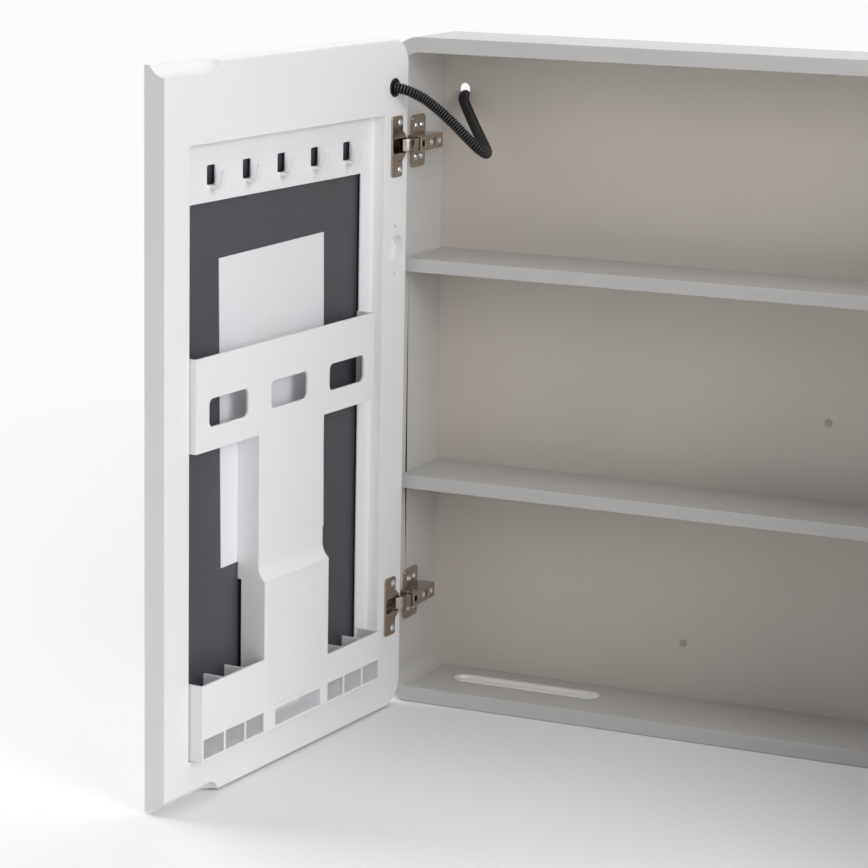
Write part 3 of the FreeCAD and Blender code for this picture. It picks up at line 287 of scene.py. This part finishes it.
def recipes():
    """What each finish is mixed from, by the record's slot names."""
    tint = bpy.context.scene.cabinet_finishes
    return {
        "carcass_lacquer": dict(colour=tint.lacquer, roughness=0.42, tone=0.015, bump=0.12, bump_scale=420),
        "back_board": dict(colour=tint.back, roughness=0.5, tone=0.025, tone_scale=5, bump=0.1, bump_scale=700),
        "door_moulding": dict(colour=tint.moulding, roughness=0.42, tone=0.012, bump=0.12, bump_scale=1300),
        "organizer_moulding": dict(colour=tint.moulding, roughness=0.38, tone=0.012, bump=0.1, bump_scale=1500,
                                   edge=0.0008),
        "inset_plate": dict(colour=(0.805, 0.79, 0.81), roughness=0.5, tone=0.01, bump=0.2, bump_scale=1800),
        "mirror_glass": dict(colour=(0.86, 0.88, 0.88), roughness=0.03, metal=1, tone=0.01, gloss=0.012),
        "mirror_back": dict(colour=tint.mirror_paint, roughness=0.36, tone=0.05, tone_scale=6, bump=0.06,
                            bump_scale=500),
        "hinge_nickel": dict(colour=tint.nickel, roughness=0.2, metal=1, tone=0.05, tone_scale=60, gloss=0.05,
                             gloss_scale=220, bump=0.05, bump_scale=900, edge=0.0007),
        "screw_steel": dict(colour=tint.zinc, roughness=0.34, metal=1, tone=0.06, tone_scale=300, gloss=0.05,
                            gloss_scale=500),
        "hanger_steel": dict(colour=(0.66, 0.67, 0.68), roughness=0.36, metal=1, tone=0.08, tone_scale=70, gloss=0.1,
                             gloss_scale=90),
        "dowel_steel": dict(colour=(0.6, 0.6, 0.6), roughness=0.3, metal=1),
        "conduit_black": dict(colour=tint.conduit, roughness=0.2, tone=0.15, tone_scale=60, gloss=0.04,
                              Specular_IOR_Level=0.4),
        # Groove faces of the conduits: painted shade, darker than the crests of the same plastic
        "conduit_groove": dict(colour=tint.rubber, roughness=0.45, tone=0.15, tone_scale=60, Specular_IOR_Level=0.05),
        "grommet_black": dict(colour=tint.rubber, roughness=0.36, tone=0.15, tone_scale=80, bump=0.1,
                              Specular_IOR_Level=0.3),
        "downlight_white": dict(colour=(0.9, 0.88, 0.87), roughness=0.4, tone=0.01),
        "downlight_opal": dict(colour=(0.97, 0.93, 0.9), roughness=0.35, tone=0.02, Subsurface_Weight=0.15),
        "diffuser_opal": dict(colour=(0.82, 0.82, 0.8), roughness=0.4, tone=0.01, Subsurface_Weight=0.15),
        "led_board": dict(colour=(0.8, 0.8, 0.78), roughness=0.5),
        "led_driver": dict(colour=(0.75, 0.75, 0.75), roughness=0.5),
        "demister_film": dict(colour=(0.79, 0.79, 0.82), roughness=0.34, tone=0.01, tone_scale=4, bump=0.1,
                              bump_scale=60, bump_depth=0.0003),
        "label_paper": dict(colour=(0.775, 0.765, 0.75), roughness=0.55, tone=0.015, bump=0.25, bump_scale=1600),
        "cap_beige": dict(colour=(0.42, 0.37, 0.32), roughness=0.45),
        "spacer_rubber": dict(colour=(0.03, 0.03, 0.03), roughness=0.6, bump=0.2),
    }


def finish(slot):
    """The material of a slot, mixed when it is first asked for."""
    name = f"{slot}_finish"
    return bpy.data.materials.get(name) or mixed(name, **recipes()[slot])


def dress(slot, *names):
    """Gives CAD nodes a finish."""
    for name in names:
        mesh = NODES[name].data
        mesh.materials.clear()
        mesh.materials.append(finish(slot))


def ease(width, *names):
    """Breaks the sharp edges of CAD nodes by a small width."""
    for name in names:
        piece = NODES[name]
        weld = piece.modifiers.new("joined_faces", "WELD")
        weld.merge_threshold = JOINED
        flat = piece.modifiers.new("flat_faces", "DECIMATE")
        flat.decimate_type = "DISSOLVE"
        flat.angle_limit = FLAT_ANGLE
        break_edges(piece, width)


def break_edges(piece, width):
    """Rounds the sharp edges of a piece."""
    eased = piece.modifiers.new("eased_edges", "BEVEL")
    eased.width = width
    eased.segments = EASE_STEPS
    eased.limit_method = "ANGLE"
    eased.angle_limit = SHARP_ANGLE
    eased.use_clamp_overlap = False
    shading = piece.modifiers.new("even_shading", "WEIGHTED_NORMAL")
    shading.weight = FACE_WEIGHT


def on_both(name):
    """The left and right names of a sub-part."""
    return [f"{side}_{name}" for side in SIDES]


class Cabinet:
    """Shared by the operators: each can be undone."""
    bl_options = {"REGISTER", "UNDO"}


class CABINET_OT_stage(Cabinet, bpy.types.Operator):
    """Makes the camera, the floor, the lamps and the light all round"""
    bl_idname = "cabinet.stage"
    bl_label = "Studio"

    def execute(self, context):
        studio = context.scene.cabinet_studio
        context.scene.view_settings.view_transform = "Standard"
        self.camera(context)
        self.floor(context, studio)
        self.light_all_round(context, studio)
        for name, (at, to, size, power) in LAMPS.items():
            self.lamp(context, name, at, to, size, power * studio.lamps)
        return {"FINISHED"}

    def camera(self, context):
        lens = bpy.data.cameras.new("camera")
        lens.sensor_width = SENSOR
        lens.lens = LENS
        lens.clip_end = CLIP_END
        camera = bpy.data.objects.new("camera", lens)
        right, down, ahead = (Vector(axis) for axis in CAMERA_AXES)
        turn = Matrix((right, -down, -ahead)).transposed().to_4x4()
        camera.matrix_world = Matrix.Translation(CAMERA_PLACE) @ turn
        context.scene.collection.objects.link(camera)
        context.scene.camera = camera

    def seen(self, owner):
        """1 for rays that show the background as it is, 0 for rays that light the object."""
        path = wire(owner, "ShaderNodeLightPath")
        total = path.outputs["Is Camera Ray"]
        for ray in ("Is Glossy Ray", "Is Transmission Ray"):
            total = wire(owner, "ShaderNodeMath", {0: total, 1: path.outputs[ray]}, operation="MAXIMUM").outputs[0]
        return total

    def floor(self, context, studio):
        mesh = bpy.data.meshes.new("floor")
        angles = (math.tau * i / FLOOR_SIDES for i in range(FLOOR_SIDES))
        rim = [(FLOOR_RADIUS * math.cos(a), FLOOR_RADIUS * math.sin(a), 0) for a in angles]
        mesh.from_pydata(rim, [], [tuple(range(FLOOR_SIDES))])
        floor = bpy.data.objects.new("floor", mesh)
        floor.location.z = CORNER.z - FLOOR_GAP
        context.scene.collection.objects.link(floor)
        made = bpy.data.materials.new("studio_floor")
        made.use_nodes = True
        tree = made.node_tree
        shader = tree.nodes["Principled BSDF"]
        shader.inputs["Base Color"].default_value = (*studio.floor, 1)
        shader.inputs["Roughness"].default_value = FLOOR_ROUGHNESS
        shader.inputs["Specular IOR Level"].default_value = FLOOR_SHINE
        place = wire(made, "ShaderNodeTexCoord").outputs["Object"]
        far = wire(made, "ShaderNodeVectorMath", {0: place}, operation="LENGTH").outputs["Value"]
        near, gone = FLOOR_FADE
        fade = wire(made, "ShaderNodeMapRange", {"Value": far, "From Min": near, "From Max": gone},
                    interpolation_type="SMOOTHSTEP").outputs["Result"]
        both = wire(made, "ShaderNodeMath", {0: fade, 1: self.seen(made)}, operation="MULTIPLY").outputs[0]
        white = wire(made, "ShaderNodeEmission", {"Color": BACKGROUND, "Strength": 1.0})
        mix = wire(made, "ShaderNodeMixShader", {0: both, 1: shader.outputs[0], 2: white.outputs[0]})
        tree.links.new(mix.outputs[0], tree.nodes["Material Output"].inputs["Surface"])
        mesh.materials.append(made)

    def light_all_round(self, context, studio):
        world = bpy.data.worlds.new("studio")
        context.scene.world = world
        world.use_nodes = True
        world.node_tree.nodes.clear()
        lit = wire(world, "ShaderNodeBackground", {"Color": AMBIENT_COLOUR, "Strength": studio.ambient})
        shown = wire(world, "ShaderNodeBackground", {"Color": BACKGROUND, "Strength": 1.0})
        mix = wire(world, "ShaderNodeMixShader", {0: self.seen(world), 1: lit.outputs[0], 2: shown.outputs[0]})
        out = wire(world, "ShaderNodeOutputWorld", {"Surface": mix.outputs[0]})
        out.is_active_output = True

    def lamp(self, context, name, at, to, size, power):
        light = bpy.data.lights.new(name, "AREA")
        light.shape = "RECTANGLE"
        light.size, light.size_y = size
        light.energy = power
        lamp = bpy.data.objects.new(name, light)
        lamp.location = at
        lamp.rotation_euler = (Vector(to) - Vector(at)).to_track_quat("-Z", "Y").to_euler()
        context.scene.collection.objects.link(lamp)


def put(name, bm, side, body, slot, replaced, smooth_angle=35):
    """Makes a piece in place of a node, of a mesh in the frame's metres that is flipped for the right side."""
    if side == "right":
        bm.transform(FLIP)
        bmesh.ops.reverse_faces(bm, faces=bm.faces)
    mesh = bpy.data.meshes.new(name)
    bm.to_mesh(mesh)
    bm.free()
    for face in mesh.polygons:
        face.use_smooth = True
    mesh.set_sharp_from_angle(angle=math.radians(smooth_angle))
    piece = bpy.data.objects.new(name, mesh)
    bpy.context.scene.collection.objects.link(piece)
    mesh.materials.append(finish(slot))
    if body:
        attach(piece, body)
    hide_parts(replaced)
    return piece


def block(bm, low, high):
    """Adds a box from its lowest to its highest corner, and returns its points."""
    low, high = Vector(low), Vector(high)
    place = Matrix.Translation((low + high) / 2) @ Matrix.Diagonal((*(high - low), 1))
    return bmesh.ops.create_cube(bm, size=1, matrix=place)["verts"]


def turned(bm, profile):
    """Adds a closed body turned about z, from points of radius and height, the ends on the axis."""
    rings = []
    for radius, height in profile[1:-1]:
        rings.append([bm.verts.new((radius * math.cos(a), radius * math.sin(a), height))
                      for a in (math.tau * j / SECTORS for j in range(SECTORS))])
    for end, ring in ((profile[0], rings[0]), (profile[-1], rings[-1])):
        tip = bm.verts.new((0, 0, end[1]))
        for j in range(SECTORS):
            bm.faces.new((ring[j - 1], ring[j], tip))
    for a, b in zip(rings, rings[1:]):
        for j in range(SECTORS):
            bm.faces.new((a[j - 1], a[j], b[j], b[j - 1]))
    bmesh.ops.recalc_face_normals(bm, faces=bm.faces)


def carved(base, cutter):
    """The mesh of one body less another."""
    made = []
    for name, bm in (("carving", base), ("cutter", cutter)):
        mesh = bpy.data.meshes.new(name)
        bmesh.ops.recalc_face_normals(bm, faces=bm.faces)
        bm.to_mesh(mesh)
        bm.free()
        body = bpy.data.objects.new(name, mesh)
        bpy.context.scene.collection.objects.link(body)
        made.append(body)
    less = made[0].modifiers.new("less", "BOOLEAN")
    less.operation = "DIFFERENCE"
    less.solver = "EXACT"
    less.use_self = True
    less.object = made[1]
    bpy.context.view_layer.update()
    result = bpy.data.meshes.new_from_object(made[0].evaluated_get(bpy.context.evaluated_depsgraph_get()))
    for body in made:
        mesh = body.data
        bpy.data.objects.remove(body)
        bpy.data.meshes.remove(mesh)
    clean = bmesh.new()
    clean.from_mesh(result)
    bmesh.ops.dissolve_degenerate(clean, dist=SLIVER, edges=clean.edges)
    clean.to_mesh(result)
    clean.free()
    return result


def screw(radius, height, shank, reach):
    """A pan-head screw along z, seated at the origin, with a cross recess."""
    base, cutter = bmesh.new(), bmesh.new()
    dome = (radius ** 2 + height ** 2) / (2 * height)
    rise = [(r, math.sqrt(dome ** 2 - r ** 2) - dome + height)
            for r in (radius * i / DOME_STEPS for i in range(DOME_STEPS))]
    rim = [(out * radius, up * height) for out, up in HEAD_RIM]
    turned(base, [*rise, *rim, (shank, 0), (shank, shank - reach), (0, -reach)])
    wide, long = CROSS_HALF_WIDTH * radius, CROSS_REACH * radius
    low = Vector((0, 0, height - CROSS_DEPTH * height))
    for arm, clears in zip((Vector((long, wide, 0)), Vector((wide, long, 0))), CROSS_CLEARS):
        for point in block(cutter, low - arm, arm + Vector((0, 0, clears * height))):
            if point.co.z < height:
                point.co.x *= CROSS_TAPER
                point.co.y *= CROSS_TAPER
    return carved(base, cutter)


def scattered(mesh, places):
    """A mesh of copies of one part."""
    bm = bmesh.new()
    for place in places:
        copy = mesh.copy()
        copy.transform(place)
        bm.from_mesh(copy)
        bpy.data.meshes.remove(copy)
    bpy.data.meshes.remove(mesh)
    return bm


def facing(frame_matrix, at, axis, spin):
    """Where a part drawn along z goes: on a point, along an axis of a matrix, turned about itself."""
    turn = Vector((0, 0, 1)).rotation_difference(Vector(axis)).to_matrix().to_4x4()
    return frame_matrix @ Matrix.Translation(at) @ turn @ Matrix.Rotation(spin, 4, "Z")


class CABINET_OT_conduits(Cabinet, bpy.types.Operator):
    """Makes the corrugated conduits that carry the doors' wires"""
    bl_idname = "cabinet.conduits"
    bl_label = "Conduits"

    def execute(self, context):
        sizes = context.scene.cabinet_conduit
        route = [DOOR @ Vector(p) for p in CONDUIT_START] + [BENCH @ Vector(p) for p in CONDUIT_BENDS + CONDUIT_END]
        line = self.line(context, route)
        rings, run = self.rings(line, sizes)
        for side in SIDES:
            bm = bmesh.new()
            self.skin(bm, rings)
            piece = put(f"{side}_conduit_hose", bm, side, None, "conduit_black", f"{side}_conduit", smooth_angle=60)
            # Second finish for the groove faces: painted shade, darker than the crests
            piece.data.materials.append(finish("conduit_groove"))
            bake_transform(piece)
        return {"FINISHED"}

    def line(self, context, route):
        """Points along a smooth line through the route."""
        curve = bpy.data.curves.new("conduit_route", "CURVE")
        curve.dimensions = "3D"
        spline = curve.splines.new("NURBS")
        spline.points.add(len(route) - 1)
        for point, place in zip(spline.points, route):
            point.co = (*place, 1)
        spline.order_u = 3
        spline.use_endpoint_u = True
        spline.resolution_u = ROUTE_STEPS
        carrier = bpy.data.objects.new("conduit_route", curve)
        context.scene.collection.objects.link(carrier)
        mesh = bpy.data.meshes.new_from_object(carrier)
        points = [v.co.copy() for v in mesh.vertices]
        bpy.data.objects.remove(carrier)
        bpy.data.meshes.remove(mesh)
        return points

    def rings(self, line, sizes):
        """Rings of points round the line, with ribs and grooves, and the line's length."""
        runs = [0.0]
        for a, b in zip(line, line[1:]):
            runs.append(runs[-1] + (b - a).length)
        steps = round(runs[-1] / sizes.pitch) * RIB_STEPS
        rings, k = [], 0
        across = None
        for i in range(steps + 1):
            at = runs[-1] * i / steps
            while k < len(runs) - 2 and runs[k + 1] < at:
                k += 1
            part = (at - runs[k]) / (runs[k + 1] - runs[k])
            centre = line[k].lerp(line[k + 1], part)
            along = (line[min(k + 2, len(line) - 1)] - line[max(k - 1, 0)]).normalized()
            across = Vector((0, 0, 1)).cross(along) if across is None else across
            across = (across - along * across.dot(along)).normalized()
            up = along.cross(across)
            radius = sizes.radius - sizes.groove * (1 - RIB_SWELL[i % RIB_STEPS])
            rings.append([[centre + (across * math.cos(a) + up * math.sin(a)) * r
                           for a in (math.tau * j / SECTORS for j in range(SECTORS))]
                          for r in (radius, sizes.bore)])
        return rings, runs[-1]

    def skin(self, bm, rings):
        """A closed ribbed tube with a bore, whose groove faces take the second finish, darker than the crests, as
        painted shade.
        """
        loops = [outer for outer, _ in rings] + [inner for _, inner in reversed(rings[::RIB_STEPS])]
        made = [[bm.verts.new(p) for p in loop] for loop in loops]
        for i, (a, b) in enumerate(zip(made, made[1:] + made[:1])):
            # Crest faces keep the conduit's finish; groove faces get the darker one, painted shade
            crest = i < len(rings) and RIB_SWELL[i % RIB_STEPS] + RIB_SWELL[(i + 1) % RIB_STEPS] > 1
            for j in range(len(a)):
                bm.faces.new((a[j], a[j - 1], b[j - 1], b[j])).material_index = 0 if crest else 1
        bmesh.ops.recalc_face_normals(bm, faces=bm.faces)


class CABINET_OT_carcass(Cabinet, bpy.types.Operator):
    """Finishes the carcass, its shelves, lights and wall fittings"""
    bl_idname = "cabinet.carcass"
    bl_label = "Carcass"

    def execute(self, context):
        corners = [f"{storey}_{side}_corner" for storey in ("lower", "upper") for side in SIDES]
        dress("carcass_lacquer", "left_side_panel", "right_side_panel", "top_panel", "bottom_panel", "upper_shelf",
              "lower_shelf", *corners)
        for slot, name in (("back_board", "back_panel"), ("cap_beige", "screw_caps"), ("dowel_steel", "shelf_dowels"),
                           ("downlight_white", "downlight_bezels"), ("downlight_opal", "downlight_covers"),
                           ("hanger_steel", "hanger_plates"), ("spacer_rubber", "wall_spacers")):
            dress(slot, name)
        ease(BOARD_EASE, "left_side_panel", "right_side_panel", "top_panel", "bottom_panel", "upper_shelf",
             "lower_shelf")
        ease(TRIM_EASE, "downlight_bezels", "downlight_covers", "wall_spacers")
        ease(HANGER_EASE, "hanger_plates")
        ease(MOULDED_EASE, "screw_caps")
        return {"FINISHED"}


class CABINET_OT_screws(Cabinet, bpy.types.Operator):
    """Makes the screws with their cross recesses"""
    bl_idname = "cabinet.screws"
    bl_label = "Screws"

    def execute(self, context):
        across, up = PLATE_HALF_PITCHES
        plates = [(INNER_FACE + PLATE_THICKNESS, PLATE_MIDDLE + a * across, z + b * up)
                  for z in HINGE_HEIGHTS for a in (-1, 1) for b in (-1, 1)]
        adjusters = [(INNER_FACE + ARM_TOP, y, z) for z in HINGE_HEIGHTS for y in ADJUSTER_DEPTHS]
        cups = [(CUP_MIDDLE, CUP_FLANGE, z + b * CUP_HALF_PITCH) for z in HINGE_HEIGHTS for b in (-1, 1)]
        for side in SIDES:
            self.place("plate_screws", side, "cabinet", PLATE_SCREW, BENCH, plates, (1, 0, 0))
            self.place("adjusting_screws", side, "cabinet", ADJUSTING_SCREW, BENCH, adjusters, (1, 0, 0))
            self.place("cup_screws", side, f"{side}_door", CUP_SCREW, DOOR, cups, (0, 1, 0))
        across, up = BACK_PITCH
        backs = [(WIDTH / 2 + i * across, REAR_FACE, z) for i in (-1.5, -0.5, 0.5, 1.5)
                 for z in (BACK_EDGE, HEIGHT - BACK_EDGE)]
        backs += [(x, REAR_FACE, HEIGHT / 2 + i * up) for i in (-1, 0, 1) for x in (BACK_EDGE, WIDTH - BACK_EDGE)]
        self.place("back_panel_screws", "", "cabinet", BACK_SCREW, BENCH, backs, (0, 1, 0))
        hangers = [(WIDTH / 2 + a * HANGER_FROM_MIDDLE + b * HANGER_FOOT, REAR_FACE + HANGER_THICKNESS,
                    HEIGHT - BACK_EDGE) for a in (-1, 1) for b in (-1, 1)]
        self.place("hanger_screws", "", "cabinet", HANGER_SCREW, BENCH, hangers, (0, 1, 0))
        return {"FINISHED"}

    def place(self, name, side, body, sizes, matrix, spots, axis):
        """Puts one kind of screw on its spots, each turned its own way."""
        label = f"{side}_{name}" if side else name
        first, step = SCREW_TURN
        places = [facing(matrix, at, axis, first + step * i) for i, at in enumerate(spots)]
        put(f"{label}_crossed", scattered(screw(*sizes), places), side, body, "screw_steel", label, smooth_angle=30)


class CABINET_OT_hinges(Cabinet, bpy.types.Operator):
    """Makes the pressed hinge arms and finishes the cups, links and mounting plates"""
    bl_idname = "cabinet.hinges"
    bl_label = "Hinges"

    def execute(self, context):
        for name in ("mounting_plates", "hinge_cups", "hinge_links", "hinge_pins"):
            dress("hinge_nickel", *on_both(name))
        ease(HINGE_EASE, *on_both("mounting_plates"), *on_both("hinge_cups"), *on_both("hinge_links"))
        for side in SIDES:
            arms = scattered(self.arm(), [BENCH @ Matrix.Translation((0, 0, z)) for z in HINGE_HEIGHTS])
            piece = put(f"{side}_hinge_arm_pressings", arms, side, "cabinet", "hinge_nickel", f"{side}_hinge_arms")
            break_edges(piece, ARM_EASE)
        return {"FINISHED"}

    def arm(self):
        """One pressed arm: a channel over the mounting plate with a turned-down end and two slots."""
        base, cutter = bmesh.new(), bmesh.new()
        block(base, *ARM_PRESSING)
        for corners in ARM_CUTS:
            block(cutter, *corners)
        return carved(base, cutter)


class CABINET_OT_doors(Cabinet, bpy.types.Operator):
    """Makes the mirrors and finishes the shells, organizers, pads and lights"""
    bl_idname = "cabinet.doors"
    bl_label = "Doors"

    def execute(self, context):
        for slot, name in (("door_moulding", "door_shell"), ("organizer_moulding", "organizer"),
                           ("inset_plate", "organizer_plate"), ("demister_film", "demister_pad"),
                           ("label_paper", "pad_label"), ("grommet_black", "conduit_grommet"),
                           ("led_board", "led_board"), ("led_driver", "led_driver"),
                           ("diffuser_opal", "light_diffuser")):
            dress(slot, *on_both(name))
        ease(MOULDED_EASE, *on_both("door_shell"))
        ease(INSET_EASE, *on_both("organizer_plate"))
        ease(TRIM_EASE, *on_both("conduit_grommet"))
        for side in SIDES:
            pane = put(f"{side}_mirror_pane", self.pane(), side, f"{side}_door", "mirror_glass", f"{side}_mirror")
            for slot in ("mirror_back", "diffuser_opal"):
                pane.data.materials.append(finish(slot))
        return {"FINISHED"}

    def outline(self, inset):
        """The mirror's edge: square at the closing side, rounded at the hinge side."""
        low, high, near, far = MIRROR_LOW + inset, MIRROR_HIGH - inset, MIRROR_NEAR + inset, MIRROR_FAR - inset
        radius = MIRROR_ROUND - inset
        points = [(far, low), (far, high)]
        for middle, start in ((high - radius, 90), (low + radius, 180)):
            for i in range(ROUND_STEPS + 1):
                a = math.radians(start + 90 * i / ROUND_STEPS)
                points.append((near + radius + radius * math.cos(a), middle + radius * math.sin(a)))
        return points

    def pane(self):
        """A mirror with a polished edge, a painted back and a frosted band in front of the light."""
        bm = bmesh.new()
        rings = [[bm.verts.new((u, n, z)) for u, z in self.outline(inset)] for inset, n in MIRROR_STEPS]
        for a, b in zip(rings, rings[1:]):
            for i in range(len(a)):
                bm.faces.new((a[i - 1], a[i], b[i], b[i - 1]))
        bm.faces.new(rings[0]).material_index = 1
        front = [bm.faces.new(rings[-1])]
        across, up = Vector((1, 0, 0)), Vector((0, 0, 1))
        for at, along in [(x * across, across) for x in BAND_ACROSS] + [(z * up, up) for z in BAND_UP]:
            parts = {e for f in front for e in f.edges} | {v for f in front for v in f.verts} | set(front)
            cut = bmesh.ops.bisect_plane(bm, geom=list(parts), plane_co=at, plane_no=along)
            front = [g for g in cut["geom"] if isinstance(g, bmesh.types.BMFace)]
        for face in front:
            middle = face.calc_center_median()
            if BAND_ACROSS[0] < middle.x < BAND_ACROSS[1] and BAND_UP[0] < middle.z < BAND_UP[1]:
                face.material_index = 2
        bmesh.ops.recalc_face_normals(bm, faces=bm.faces)
        bm.transform(DOOR)
        return bm


class CABINET_PT_panel(bpy.types.Panel):
    """Lists the cabinet's steps and settings"""
    bl_idname = "CABINET_PT_panel"
    bl_label = "Mirror cabinet"
    bl_space_type = "VIEW_3D"
    bl_region_type = "UI"
    bl_category = "Cabinet"

    def draw(self, context):
        for step in STEPS:
            self.layout.operator(step.bl_idname)
        for group, kind in GROUPS.items():
            for name in kind.__annotations__:
                self.layout.prop(getattr(context.scene, group), name)


STEPS = (CABINET_OT_stage, CABINET_OT_conduits, CABINET_OT_carcass, CABINET_OT_screws, CABINET_OT_hinges,
         CABINET_OT_doors)
GROUPS = {"cabinet_finishes": CabinetFinishes, "cabinet_conduit": ConduitSizes, "cabinet_studio": StudioSettings}


def register():
    for kind in (*GROUPS.values(), *STEPS, CABINET_PT_panel):
        bpy.utils.register_class(kind)
    for name, kind in GROUPS.items():
        setattr(bpy.types.Scene, name, bpy.props.PointerProperty(type=kind))


def unregister():
    for name in GROUPS:
        delattr(bpy.types.Scene, name)
    for kind in (CABINET_PT_panel, *reversed(STEPS), *GROUPS.values()):
        bpy.utils.unregister_class(kind)


def main():
    register()
    bpy.ops.cabinet.stage()
    bpy.ops.cabinet.conduits()
    bpy.ops.cabinet.carcass()
    bpy.ops.cabinet.screws()
    bpy.ops.cabinet.hinges()
    bpy.ops.cabinet.doors()


if __name__ == "__main__":
    main()
